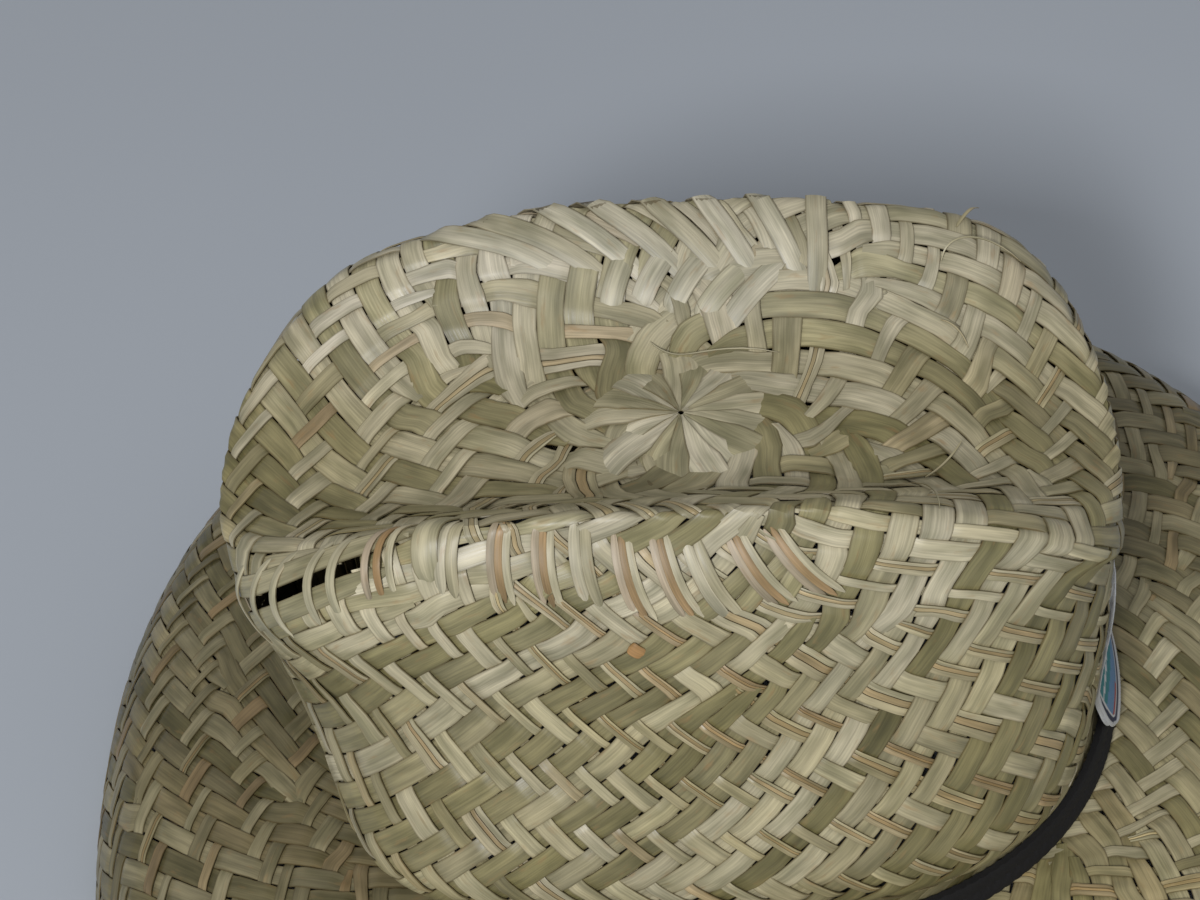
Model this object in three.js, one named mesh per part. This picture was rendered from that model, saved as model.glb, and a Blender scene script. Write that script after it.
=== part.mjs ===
// Straw safari hat: a woven palm crown with a lengthwise dent, a bell-shaped woven brim,
// a black band round the foot of the crown and a plain badge on its front.
// Millimetres. +X is the front of the hat, +Z is up, and the brim's edge rests at z = 0.

import * as THREE from 'three';

// Driving sizes
const WALL = 2.0; // two crossing layers of palm strip
const GAP = 0.3; // clearance between pieces that touch
const AROUND = 56; // facets round the hat
const CROWN_STEPS = 3; // facets between two sections of the crown
const BRIM_STEPS = 2; // facets between two sections of the brim
const HALVINGS = 30; // steps of the search for a height on the wall

const BAND = { bottom: 47.2, top: 54.6, thickness: 2.0, clear: 0.6, rows: 3 };
const BADGE = {
  bottom: 49.5,
  top: 100,
  halfLength: 28,
  corner: 11,
  thickness: 1.6,
  wallClear: 0.9, // its upper part stands this far off the wall
  bandClear: 3.1, // its lower part stands this far off the wall, over the band
  restHeight: 70, // from this height up it follows the wall
  columns: 14,
  rows: 8,
};

// Sections of the crown, from the weave's centre in the dent to its foot. Each is a closed,
// squarish oval: its reach ahead (+X), behind (-X) and to each side, the squareness of its
// front and back half (2 is an ellipse), and its height at the sides, the front and the back.
const CROWN_SECTIONS = [
  { name: 'weave centre', reach: [-12, 12, 0], square: [2, 2], height: [143, 143, 143] },
  { name: 'dent floor', reach: [8, 33, 12], square: [2, 2], height: [141.5, 141.5, 141.5] },
  { name: 'slope', reach: [39, 65, 23], square: [2, 2], height: [143.5, 139.5, 138.5] },
  { name: 'side', reach: [69, 93, 33], square: [2.2, 2.2], height: [150.5, 135.5, 131] },
  { name: 'lip', reach: [81, 106.5, 43.5], square: [3, 2.9], height: [159.5, 133.5, 133] },
  { name: 'crest', reach: [88.5, 121, 51.5], square: [3.2, 2.8], height: [163.5, 132.5, 129] },
  { name: 'bend', reach: [87.5, 117.5, 54], square: [5.8, 4.5], height: [157.5, 126.5, 124.5] },
  { name: 'flank', reach: [87.5, 115, 60.5], square: [3.6, 4.4], height: [147.5, 120, 117] },
  { name: 'upper wall', reach: [86.5, 112.5, 70.5], square: [3.5, 2.7], height: [118.5, 94, 92] },
  { name: 'lower wall', reach: [84, 98.5, 88.5], square: [3, 4.2], height: [76, 72.5, 69] },
  { name: 'band line', reach: [88, 95.5, 82.5], square: [2.2, 3.1], height: [55, 55, 55] },
  { name: 'foot', reach: [91, 97.5, 85], square: [2.1, 2.2], height: [46.3, 46.3, 46.3] },
];

// Sections of the brim, from under the crown's wall out to the edge that rests on the surface.
const BRIM_SECTIONS = [
  { name: 'root', reach: [88.5, 95, 82.5], square: [2.1, 2.2], height: [46, 46, 46] },
  { name: 'inner', reach: [112, 120, 108.5], square: [2.15, 2.15], height: [46.5, 44, 47] },
  { name: 'middle', reach: [137, 139, 134.5], square: [2.25, 2.25], height: [44, 40, 45] },
  { name: 'turn', reach: [159, 157, 157], square: [2.25, 2.25], height: [37.5, 33, 37] },
  { name: 'roll', reach: [168.5, 166, 167.5], square: [2.25, 2.25], height: [28, 24, 25] },
  { name: 'skirt', reach: [171.5, 170.5, 171], square: [2.25, 2.25], height: [15, 13, 13] },
  { name: 'edge', reach: [172, 172, 171.5], square: [2.2, 2.2], height: [0, 0, 0] },
];

const COLOURS = { straw: 0xb9ae84, brimStraw: 0xb3a87c, band: 0x15151a, badge: 0x8fb0cf };

// One point of a section's oval, at an angle from the front.
function sectionPoint(section, angle) {
  const [ahead, behind, half] = section.reach;
  const [side, front, back] = section.height;
  const c = Math.cos(angle);
  const s = Math.sin(angle);
  const power = section.square[c > 0 ? 0 : 1];
  const norm = (Math.abs(c) ** power + Math.abs(s) ** power) ** (1 / power);
  const endShare = Math.abs(c / norm) ** power;
  const lean = Math.sign(c) * Math.sqrt(endShare);
  const endHeight = (front * (1 + lean) + back * (1 - lean)) / 2;
  return new THREE.Vector3(
    (ahead - behind) / 2 + ((ahead + behind) / 2) * (c / norm),
    half * (s / norm),
    side * (1 - endShare) + endHeight * endShare,
  );
}

// The smooth line down the hat's outside through every section at one angle.
function meridian(sections, angle) {
  return new THREE.CatmullRomCurve3(sections.map((section) => sectionPoint(section, angle)));
}

// Rows of points over a shell's outside, row by row from its first section to its last.
function shellRows(sections, steps) {
  const spans = (sections.length - 1) * steps;
  const lines = [];
  for (let j = 0; j < AROUND; j += 1) {
    lines.push(meridian(sections, (2 * Math.PI * j) / AROUND));
  }
  const rows = [];
  for (let i = 0; i <= spans; i += 1) {
    rows.push(lines.map((line) => line.getPoint(i / spans)));
  }
  return rows;
}

// Outward normals of a closed-round grid of rows, from the slopes between neighbours.
function rowNormals(rows) {
  const last = rows.length - 1;
  return rows.map((row, i) => row.map((point, j) => {
    const count = row.length;
    const down = rows[Math.min(i + 1, last)][j].clone().sub(rows[Math.max(i - 1, 0)][j]);
    const along = row[(j + 1) % count].clone().sub(row[(j + count - 1) % count]);
    if (along.lengthSq() < 1e-9) {
      return new THREE.Vector3(0, 0, 1);
    }
    return down.cross(along).normalize();
  }));
}

// The inside of a shell: every outer point moved in by the wall, its last row level with the
// outer one so that the foot or edge is a flat ring.
function innerRows(rows) {
  const normals = rowNormals(rows);
  const inner = rows.map((row, i) => row.map((point, j) => (
    point.clone().addScaledVector(normals[i][j], -WALL)
  )));
  const last = rows.length - 1;
  inner[last].forEach((point, j) => {
    const normal = normals[last][j].clone().setZ(0).normalize();
    point.copy(rows[last][j]).addScaledVector(normal, -WALL);
  });
  return inner;
}

// A solid between a front grid and a back grid of points. Where wrap is true the rows run
// all the way round, and where pole is true the first row is a single point.
function solidBetween(front, back, { wrap = false, pole = false } = {}) {
  const points = [];
  const faces = [];
  const number = (grid) => grid.map((row, i) => {
    const count = pole && i === 0 ? 1 : row.length;
    const own = row.slice(0, count).map((point) => points.push(point) - 1);
    return row.map((_, j) => own[Math.min(j, count - 1)]);
  });
  const quad = (a, b, c, d) => {
    if (a !== b) {
      faces.push([a, b, c]);
    }
    if (c !== d) {
      faces.push([a, c, d]);
    }
  };
  const f = number(front);
  const k = number(back);
  const rows = f.length;
  const columns = f[0].length;
  const around = wrap ? columns : columns - 1;
  for (let j = 0; j < around; j += 1) {
    const n = (j + 1) % columns;
    for (let i = 0; i + 1 < rows; i += 1) {
      quad(f[i][n], f[i][j], f[i + 1][j], f[i + 1][n]);
      quad(k[i][j], k[i][n], k[i + 1][n], k[i + 1][j]);
    }
    if (!pole) {
      quad(f[0][j], f[0][n], k[0][n], k[0][j]);
    }
    quad(f[rows - 1][n], f[rows - 1][j], k[rows - 1][j], k[rows - 1][n]);
  }
  if (!wrap) {
    for (let i = 0; i + 1 < rows; i += 1) {
      quad(f[i + 1][0], f[i][0], k[i][0], k[i + 1][0]);
      quad(f[i][columns - 1], f[i + 1][columns - 1], k[i + 1][columns - 1], k[i][columns - 1]);
    }
  }
  const geometry = new THREE.BufferGeometry();
  const numbers = points.flatMap((point) => [point.x, point.y, point.z]);
  geometry.setAttribute('position', new THREE.Float32BufferAttribute(numbers, 3));
  geometry.setIndex(faces.flat());
  if (volume(points, faces) < 0) {
    geometry.setIndex(faces.flatMap(([a, b, c]) => [a, c, b]));
  }
  geometry.computeVertexNormals();
  return geometry;
}

// Signed volume inside a closed mesh, positive where its faces point out.
function volume(points, faces) {
  return faces.reduce((sum, [a, b, c]) => (
    sum + points[a].dot(points[b].clone().cross(points[c])) / 6
  ), 0);
}

// Where the crown's outside stands at an angle and a height near its foot, with the level
// direction that points away from it.
function wallAt(angle, height) {
  const line = meridian(CROWN_SECTIONS, angle);
  const flank = CROWN_SECTIONS.findIndex((section) => section.name === 'flank');
  let high = flank / (CROWN_SECTIONS.length - 1);
  let low = 1;
  for (let k = 0; k < HALVINGS; k += 1) {
    const middle = (high + low) / 2;
    if (line.getPoint(middle).z > height) {
      high = middle;
    } else {
      low = middle;
    }
  }
  const point = line.getPoint((high + low) / 2);
  const step = 0.01;
  const before = sectionPoint(CROWN_SECTIONS.at(-1), angle - step);
  const after = sectionPoint(CROWN_SECTIONS.at(-1), angle + step);
  const away = new THREE.Vector3(after.y - before.y, before.x - after.x, 0).normalize();
  return { point, away };
}

function crownGeometry() {
  const rows = shellRows(CROWN_SECTIONS, CROWN_STEPS);
  return solidBetween(rows, innerRows(rows), { wrap: true, pole: true });
}

function brimGeometry() {
  const rows = shellRows(BRIM_SECTIONS, BRIM_STEPS);
  return solidBetween(rows, innerRows(rows), { wrap: true });
}

// The band is a flat loop that follows the flare of the crown's foot.
function bandGeometry() {
  const rowAt = (i, offset) => {
    const height = BAND.top + ((BAND.bottom - BAND.top) * i) / (BAND.rows - 1);
    return Array.from({ length: AROUND }, (_, j) => {
      const { point, away } = wallAt((2 * Math.PI * j) / AROUND, height);
      return point.addScaledVector(away, offset);
    });
  };
  const indices = [...Array(BAND.rows).keys()];
  const outer = indices.map((i) => rowAt(i, BAND.clear + BAND.thickness));
  const inner = indices.map((i) => rowAt(i, BAND.clear));
  return solidBetween(outer, inner, { wrap: true });
}

// The badge is a bent plate with round corners. Its lower part stands clear of the band, and
// its upper part follows the crown's wall.
function badgeGeometry() {
  const { bottom, top, halfLength, corner, thickness, columns, rows } = BADGE;
  const [, , frontRadius] = CROWN_SECTIONS.at(-1).reach;
  const rowAt = (i, extra) => {
    const height = top + ((bottom - top) * i) / rows;
    const inside = Math.max(0, corner - Math.min(height - bottom, top - height));
    const reach = halfLength - corner + Math.sqrt(corner ** 2 - Math.min(inside, corner * 0.98) ** 2);
    const rise = THREE.MathUtils.smoothstep(height, BAND.top + GAP, BADGE.restHeight);
    const stand = THREE.MathUtils.lerp(BADGE.bandClear, BADGE.wallClear, rise);
    return Array.from({ length: columns + 1 }, (_, j) => {
      const angle = (reach / frontRadius) * ((2 * j) / columns - 1);
      const { point, away } = wallAt(angle, height);
      return point.addScaledVector(away, stand + extra);
    });
  };
  const indices = [...Array(rows + 1).keys()];
  return solidBetween(indices.map((i) => rowAt(i, thickness)), indices.map((i) => rowAt(i, 0)));
}

function piece(name, geometry, color, roughness) {
  const material = new THREE.MeshStandardMaterial({ color, roughness, metalness: 0 });
  const mesh = new THREE.Mesh(geometry, material);
  mesh.name = name;
  return mesh;
}

const hat = new THREE.Group();
hat.add(piece('crown', crownGeometry(), COLOURS.straw, 0.6));
hat.add(piece('brim', brimGeometry(), COLOURS.brimStraw, 0.6));
hat.add(piece('hat_band', bandGeometry(), COLOURS.band, 0.9));
hat.add(piece('front_badge', badgeGeometry(), COLOURS.badge, 0.5));

export default hat;
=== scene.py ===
"""Straw safari hat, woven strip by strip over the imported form.

The hat is a twill of flat palm strips. The strips start under a rosette in the dent of the
crown, cross each other in rings that run round the hat, and go on down the wall and out over
the bell-shaped brim. A black braid covers the joint of crown and brim, and a stitched badge
stands on the front. Sizes are in millimetres until a mesh is made, then in metres.
"""

import logging
import math
from collections.abc import Callable
from dataclasses import dataclass, field
from enum import Enum

import bpy
import numpy as np
from mathutils import Matrix, Vector


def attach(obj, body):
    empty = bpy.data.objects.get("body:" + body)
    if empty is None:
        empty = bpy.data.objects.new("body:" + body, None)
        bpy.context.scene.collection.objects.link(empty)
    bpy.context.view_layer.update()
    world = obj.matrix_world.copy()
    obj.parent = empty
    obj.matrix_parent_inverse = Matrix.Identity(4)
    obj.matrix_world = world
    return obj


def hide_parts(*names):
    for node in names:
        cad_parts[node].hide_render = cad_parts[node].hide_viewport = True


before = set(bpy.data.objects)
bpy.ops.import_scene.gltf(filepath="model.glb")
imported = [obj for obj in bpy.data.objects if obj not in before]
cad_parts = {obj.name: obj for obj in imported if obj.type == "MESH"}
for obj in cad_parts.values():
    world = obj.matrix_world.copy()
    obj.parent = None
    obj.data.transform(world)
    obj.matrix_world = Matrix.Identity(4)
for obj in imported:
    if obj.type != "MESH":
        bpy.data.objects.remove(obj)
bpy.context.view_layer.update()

LOG = logging.getLogger("straw_hat")
METRES = 0.001
SEED = 20
PATTERN_ROOM = 900  # millimetres over which the strips' patterns are spread, so none repeats
Colour = tuple[float, float, float]


# Colours and nodes


def linear(hex_colour: str) -> Colour:
    """Turns an sRGB hex colour into linear light.

    Args:
        hex_colour: The colour as RRGGBB.

    Returns:
        Its red, green and blue in linear light.
    """
    parts = [int(hex_colour[i : i + 2], 16) / 255 for i in (0, 2, 4)]
    curve = [p / 12.92 if p <= 0.04045 else ((p + 0.055) / 1.055) ** 2.4 for p in parts]
    return curve[0], curve[1], curve[2]


def add_node(tree: bpy.types.NodeTree, kind: str, sockets: dict, **settings: object) -> bpy.types.Node:
    """Adds one shader node with its settings, values and links.

    Args:
        tree: The node tree that gets the node.
        kind: The node's type without its ShaderNode prefix.
        sockets: Input name or index to a value, or to the output socket to link from.
        settings: Properties set on the node before its sockets.

    Returns:
        The new node.
    """
    made = tree.nodes.new("ShaderNode" + kind)
    for name, value in settings.items():
        setattr(made, name, value)
    for name, value in sockets.items():
        if isinstance(value, bpy.types.NodeSocket):
            tree.links.new(value, made.inputs[name])
        else:
            made.inputs[name].default_value = value
    return made


def new_material(name: str) -> tuple[bpy.types.Material, bpy.types.NodeTree]:
    """Makes an empty node material.

    Args:
        name: The material's name.

    Returns:
        The material and its cleared node tree.
    """
    material = bpy.data.materials.new(name)
    material.use_nodes = True
    material.node_tree.nodes.clear()
    return material, material.node_tree


@dataclass(frozen=True)
class PalmStraw:
    """Dried palm leaf strip: fine lengthwise fibres under a satin skin.

    The eye gets thin bright and dark lines along each strip, broader bands of cream and olive,
    a few tan stains, and a soft gleam where a strip bends.
    """

    name: str
    fibre_pitch: float = 0.42  # real fibres are about 0.2 mm apart, too fine to show
    fibre_run: float = 14.0  # length of a streak along the strip
    fibre_light: tuple[float, float] = (0.82, 1.12)  # darkest and lightest, as a share
    band_pitch: float = 1.7
    band_run: float = 46.0
    band_light: tuple[float, float] = (0.84, 1.14)
    stain_size: float = 7.0
    stain_hex: str = "A98557"
    stain_share: float = 0.5  # how much of a stain's middle is its own colour
    mottle_run: float = 17.0
    mottle_pitch: float = 4.5
    mottle_hex: str = "C9CBC4"
    # Darker brown edges: partly the strips' own edge colour, partly painted shade in the gaps between
    # strips.
    edge_and_shade_hex: str = "574725"
    edge_shade_from: float = 0.86  # share of the half width where the darker edge, partly painted shade, starts
    edge_shade_share: float = 0.6  # how much of the outermost edge is the edge's colour
    roughness: tuple[float, float] = (0.30, 0.52)  # between the fibres and on their crests
    relief: float = 0.05  # millimetres

    def material(self) -> bpy.types.Material:
        """Builds the straw's node material.

        Returns:
            The material, which reads the mesh's tint and its place along the strip.
        """
        material, tree = new_material(self.name)
        tint = add_node(tree, "Attribute", {}, attribute_name="tint")
        place = add_node(tree, "UVMap", {}, uv_map="strip_mm")
        fibre = self._streaks(tree, place, self.fibre_run, self.fibre_pitch, 3.0)
        band = self._streaks(tree, place, self.band_run, self.band_pitch, 2.0)
        stain = self._streaks(tree, place, self.stain_size, self.stain_size / 3, 3.0)
        mottle = self._streaks(tree, place, self.mottle_run, self.mottle_pitch, 2.0)
        dark, light = self.fibre_light
        fine = add_node(tree, "MapRange", {0: fibre, 1: 0.34, 2: 0.66, 3: dark, 4: light})
        dark, light = self.band_light
        broad = add_node(tree, "MapRange", {0: band, 1: 0.3, 2: 0.7, 3: dark, 4: light})
        both = add_node(tree, "Math", {0: fine.outputs[0], 1: broad.outputs[0]}, operation="MULTIPLY")
        straw = add_node(
            tree, "VectorMath", {0: tint.outputs["Color"], 3: both.outputs[0]}, operation="SCALE"
        )
        cloud = add_node(tree, "MapRange", {0: mottle, 1: 0.34, 2: 0.62, 3: 1.0, 4: 0.0})
        clouded = add_node(
            tree,
            "Mix",
            {0: cloud.outputs[0], 6: straw.outputs[0], 7: (*linear(self.mottle_hex), 1)},
            data_type="RGBA",
            blend_type="MULTIPLY",
        )
        share = add_node(tree, "MapRange", {0: stain, 1: 0.6, 2: 0.78, 3: 0.0, 4: self.stain_share})
        stained = add_node(
            tree,
            "Mix",
            {0: share.outputs[0], 6: clouded.outputs[2], 7: (*linear(self.stain_hex), 1)},
            data_type="RGBA",
        )
        # Each strip darkens to the edge colour at its sides: partly its real edge, partly painted shade
        # between strips.
        side = {0: tint.outputs["Alpha"], 1: self.edge_shade_from, 2: 1.0, 3: 0.0, 4: self.edge_shade_share}
        rim = add_node(tree, "MapRange", side)
        edge_shaded = add_node(
            tree,
            "Mix",
            {0: rim.outputs[0], 6: stained.outputs[2], 7: (*linear(self.edge_and_shade_hex), 1)},
            data_type="RGBA",
        )
        low, high = self.roughness
        gloss = add_node(tree, "MapRange", {0: fibre, 1: 0.25, 2: 0.75, 3: low, 4: high})
        bump = add_node(tree, "Bump", {"Strength": 0.7, "Distance": self.relief * METRES, "Height": fibre})
        shader = add_node(
            tree,
            "BsdfPrincipled",
            {
                "Base Color": edge_shaded.outputs[2],
                "Roughness": gloss.outputs[0],
                "Specular IOR Level": 0.5,
                "Normal": bump.outputs[0],
            },
        )
        add_node(tree, "OutputMaterial", {0: shader.outputs[0]})
        return material

    @staticmethod
    def _streaks(
        tree: bpy.types.NodeTree, place: bpy.types.Node, run: float, pitch: float, detail: float
    ) -> bpy.types.NodeSocket:
        """Adds noise drawn out along the strip.

        Args:
            tree: The material's node tree.
            place: The node that gives the place on the strip in millimetres.
            run: Length of a streak in millimetres.
            pitch: Distance between streaks in millimetres.
            detail: Levels of finer noise.

        Returns:
            The noise's value.
        """
        at = add_node(tree, "Mapping", {0: place.outputs[0], "Scale": (1 / run, 1 / pitch, 1.0)})
        noise = add_node(tree, "TexNoise", {"Vector": at.outputs[0], "Scale": 1.0, "Detail": detail})
        return noise.outputs[0]


@dataclass(frozen=True)
class BraidedCotton:
    """Black polished cotton braid: matt, with a faint dusty light on the crowns of its strands."""

    name: str = "black_cotton_braid"
    strand_hex: str = "0B0B0D"
    worn_hex: str = "1B1A1C"
    thread_pitch: float = 0.5  # real yarn is about 0.3 mm thick, too fine to show
    thread_relief: float = 0.12  # millimetres
    roughness: float = 0.82

    def material(self) -> bpy.types.Material:
        """Builds the braid's node material.

        Returns:
            The material, which reads the mesh's place along the braid.
        """
        material, tree = new_material(self.name)
        place = add_node(tree, "UVMap", {}, uv_map="strip_mm")
        scale = (1 / self.thread_pitch, 0.25 / self.thread_pitch, 1.0)
        at = add_node(tree, "Mapping", {0: place.outputs[0], "Scale": scale})
        thread = add_node(tree, "TexNoise", {"Vector": at.outputs[0], "Scale": 1.0, "Detail": 3.0})
        worn = add_node(
            tree,
            "Mix",
            {0: thread.outputs[0], 6: (*linear(self.strand_hex), 1), 7: (*linear(self.worn_hex), 1)},
            data_type="RGBA",
        )
        relief = self.thread_relief * METRES
        bump = add_node(tree, "Bump", {"Strength": 0.8, "Distance": relief, "Height": thread.outputs[0]})
        shader = add_node(
            tree,
            "BsdfPrincipled",
            {"Base Color": worn.outputs[2], "Roughness": self.roughness, "Normal": bump.outputs[0]},
        )
        add_node(tree, "OutputMaterial", {0: shader.outputs[0]})
        return material


@dataclass(frozen=True)
class PrintedSatin:
    """Woven polyester satin with a printed pattern: smooth, with a fine grid of threads."""

    name: str = "printed_satin"
    thread_pitch: float = 0.175  # real threads are about 0.1 mm apart, too fine to show
    thread_relief: float = 0.06  # millimetres
    roughness: float = 0.5

    def material(self) -> bpy.types.Material:
        """Builds the satin's node material.

        Returns:
            The material, which reads the mesh's tint and its place on the badge.
        """
        material, tree = new_material(self.name)
        tint = add_node(tree, "Attribute", {}, attribute_name="tint")
        place = add_node(tree, "UVMap", {}, uv_map="strip_mm")
        turn = 2 * math.pi / (20 * self.thread_pitch)  # at scale 1 a wave repeats every 2 pi / 20
        waves = []
        for way in ("X", "Y"):
            wave = add_node(
                tree,
                "TexWave",
                {"Vector": place.outputs[0], "Scale": turn, "Distortion": 0.4, "Detail": 1.0},
                bands_direction=way,
            )
            waves.append(wave.outputs[1])
        threads = add_node(tree, "Math", {0: waves[0], 1: waves[1]}, operation="MULTIPLY")
        light = add_node(tree, "MapRange", {0: threads.outputs[0], 1: 0.0, 2: 1.0, 3: 0.88, 4: 1.06})
        cloth = add_node(
            tree, "VectorMath", {0: tint.outputs["Color"], 3: light.outputs[0]}, operation="SCALE"
        )
        relief = self.thread_relief * METRES
        bump = add_node(tree, "Bump", {"Strength": 0.5, "Distance": relief, "Height": threads.outputs[0]})
        shader = add_node(
            tree,
            "BsdfPrincipled",
            {
                "Base Color": cloth.outputs[0],
                "Roughness": self.roughness,
                "Sheen Weight": 0.04,
                "Specular IOR Level": 0.3,
                "Normal": bump.outputs[0],
            },
        )
        add_node(tree, "OutputMaterial", {0: shader.outputs[0]})
        return material


@dataclass(frozen=True)
class PlainSurface:
    """Pale matt surface that the hat rests on, with a barely uneven tone."""

    name: str = "pale_surface"
    base_hex: str = "C3CBD6"
    cloud_size: float = 900.0  # millimetres

    def material(self) -> bpy.types.Material:
        """Builds the surface's node material.

        Returns:
            The material.
        """
        material, tree = new_material(self.name)
        place = add_node(tree, "TexCoord", {})
        cloud = add_node(
            tree,
            "TexNoise",
            {"Vector": place.outputs["Object"], "Scale": 1000 / self.cloud_size, "Detail": 2.0},
        )
        light = add_node(tree, "MapRange", {0: cloud.outputs[0], 1: 0.3, 2: 0.7, 3: 0.96, 4: 1.03})
        tone = add_node(
            tree, "VectorMath", {0: linear(self.base_hex), 3: light.outputs[0]}, operation="SCALE"
        )
        shader = add_node(tree, "BsdfPrincipled", {"Base Color": tone.outputs[0], "Roughness": 0.85})
        add_node(tree, "OutputMaterial", {0: shader.outputs[0]})
        return material


# Meshes


@dataclass
class MeshMaker:
    """Gathers ribbons of strip into one mesh with a place and a tint at each corner."""

    points: list[np.ndarray] = field(default_factory=list)
    faces: list[np.ndarray] = field(default_factory=list)
    caps: list[list[int]] = field(default_factory=list)
    places: list[np.ndarray] = field(default_factory=list)
    tints: list[np.ndarray] = field(default_factory=list)
    count: int = 0

    def ribbon(
        self,
        top: np.ndarray,
        normal: np.ndarray,
        thick: float,
        place: np.ndarray,
        tint: np.ndarray,
        bent: bool = False,
    ) -> None:
        """Adds one closed strip.

        Args:
            top: Rows of points across the strip's upper side, (rows, across, 3).
            normal: Upward directions at those points, the same shape.
            thick: The strip's thickness.
            place: Millimetres along and across the strip, (rows, across, 2).
            tint: Colour and edge share at those points, (rows, across, 4).
            bent: Whether the underside follows the upper side point by point.
        """
        rows, across, _ = top.shape
        below = list(range(across - 1, -1, -1)) if bent else [-1, 0]
        loop = np.concatenate([top, top[:, below] - normal[:, below] * thick], axis=1)
        size = across + len(below)
        number = self.count + np.arange(rows * size).reshape(rows, size)
        after = np.roll(number, -1, axis=1)
        quads = np.stack([number[:-1], after[:-1], after[1:], number[1:]], axis=-1).reshape(-1, 4)
        side = top[0, -1] - top[0, 0]
        ahead = top[1, 0] - top[0, 0]
        first, last = number[0][::-1], number[-1]
        if np.dot(np.cross(side, ahead), normal[0, 0]) < 0:
            quads = quads[:, ::-1]
            first, last = first[::-1], last[::-1]
        self.faces.append(quads)
        self.caps += [first.tolist(), last.tolist()]
        self.points.append(loop.reshape(-1, 3))
        self.places.append(np.concatenate([place, place[:, below]], axis=1).reshape(-1, 2))
        self.tints.append(np.concatenate([tint, tint[:, below]], axis=1).reshape(-1, 4))
        self.count += rows * size

    def build(self, name: str, material: bpy.types.Material, crease: float = 38.0) -> bpy.types.Object:
        """Makes the object.

        Args:
            name: The object's name.
            material: Its finish.
            crease: Edges sharper than this many degrees stay crisp.

        Returns:
            The object, linked to the scene.
        """
        points = np.concatenate(self.points) * METRES
        faces = np.concatenate(self.faces).tolist() + self.caps
        mesh = bpy.data.meshes.new(name)
        mesh.from_pydata(points.tolist(), [], faces)
        corners = np.empty(len(mesh.loops), dtype=np.int32)
        mesh.loops.foreach_get("vertex_index", corners)
        layer = mesh.uv_layers.new(name="strip_mm")
        layer.data.foreach_set("uv", np.concatenate(self.places)[corners].ravel())
        tint = mesh.color_attributes.new(name="tint", type="FLOAT_COLOR", domain="POINT")
        tint.data.foreach_set("color", np.concatenate(self.tints).ravel())
        mesh.shade_smooth()
        mesh.set_sharp_from_angle(angle=math.radians(crease))
        mesh.materials.append(material)
        made = bpy.data.objects.new(name, mesh)
        bpy.context.collection.objects.link(made)
        triangles = sum(len(face) - 2 for face in faces)
        LOG.info("%s: %d triangles", name, triangles)
        return made


def dress(piece: bpy.types.Object, slot: str, *nodes: str) -> bpy.types.Object:
    """Fixes a piece to the hat and hides the solids that it stands for.

    Args:
        piece: The piece.
        slot: The record's material slot; it is not used.
        nodes: Solids that the piece replaces.

    Returns:
        The piece.
    """
    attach(piece, "root")
    if nodes:
        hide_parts(*nodes)
    return piece


# The hat's form


def ease(value: np.ndarray, low: float, high: float) -> np.ndarray:
    """Gives 0 up to low, 1 from high on, and a smooth rise between."""
    t = np.clip((value - low) / (high - low), 0, 1)
    return t * t * (3 - 2 * t)


@dataclass(frozen=True)
class Section:
    """A closed, squarish oval round the hat: its reach each way, squareness and heights."""

    name: str
    ahead: float  # reach to the front
    behind: float
    half: float  # reach to each side
    square: float  # 2 gives an ellipse, and more is squarer
    square_back: float
    side: float  # height at both sides
    front: float
    back: float

    def points(self, angles: np.ndarray) -> np.ndarray:
        """Gives the oval's points.

        Args:
            angles: Angles from the front, in radians.

        Returns:
            Points, (angles, 3).
        """
        c, s = np.cos(angles), np.sin(angles)
        n = np.where(c > 0, self.square, self.square_back)
        norm = (np.abs(c) ** n + np.abs(s) ** n) ** (1 / n)
        share = np.abs(c / norm) ** n
        lean = np.sign(c) * np.sqrt(share)
        ends = (self.front * (1 + lean) + self.back * (1 - lean)) / 2
        x = (self.ahead - self.behind) / 2 + (self.ahead + self.behind) / 2 * c / norm
        return np.stack([x, self.half * s / norm, self.side * (1 - share) + ends * share], axis=-1)


CROWN_SECTIONS = (
    Section("weave centre", -12, 12, 0, 2, 2, 143, 143, 143),
    Section("dent floor", 8, 33, 12, 2, 2, 141.5, 141.5, 141.5),
    Section("slope", 39, 65, 23, 2, 2, 143.5, 139.5, 138.5),
    Section("side", 69, 93, 33, 2.2, 2.2, 150.5, 135.5, 131),
    Section("lip", 81, 106.5, 43.5, 3, 2.9, 159.5, 133.5, 133),
    Section("crest", 88.5, 121, 51.5, 3.2, 2.8, 163.5, 132.5, 129),
    Section("bend", 87.5, 117.5, 54, 5.8, 4.5, 157.5, 126.5, 124.5),
    Section("flank", 87.5, 115, 60.5, 3.6, 4.4, 147.5, 120, 117),
    Section("upper wall", 86.5, 112.5, 70.5, 3.5, 2.7, 118.5, 94, 92),
    Section("lower wall", 84, 98.5, 88.5, 3, 4.2, 76, 72.5, 69),
    Section("band line", 88, 95.5, 82.5, 2.2, 3.1, 55, 55, 55),
    Section("foot", 91, 97.5, 85, 2.1, 2.2, 46.3, 46.3, 46.3),
)

BRIM_SECTIONS = (
    Section("root", 88.5, 95, 82.5, 2.1, 2.2, 46, 46, 46),
    Section("inner", 112, 120, 108.5, 2.15, 2.15, 46.5, 44, 47),
    Section("middle", 137, 139, 134.5, 2.25, 2.25, 44, 40, 45),
    Section("turn", 159, 157, 157, 2.25, 2.25, 37.5, 33, 37),
    Section("roll", 168.5, 166, 167.5, 2.25, 2.25, 28, 24, 25),
    Section("skirt", 171.5, 170.5, 171, 2.25, 2.25, 15, 13, 13),
    Section("edge", 172, 172, 171.5, 2.2, 2.2, 0, 0, 0),
)


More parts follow.
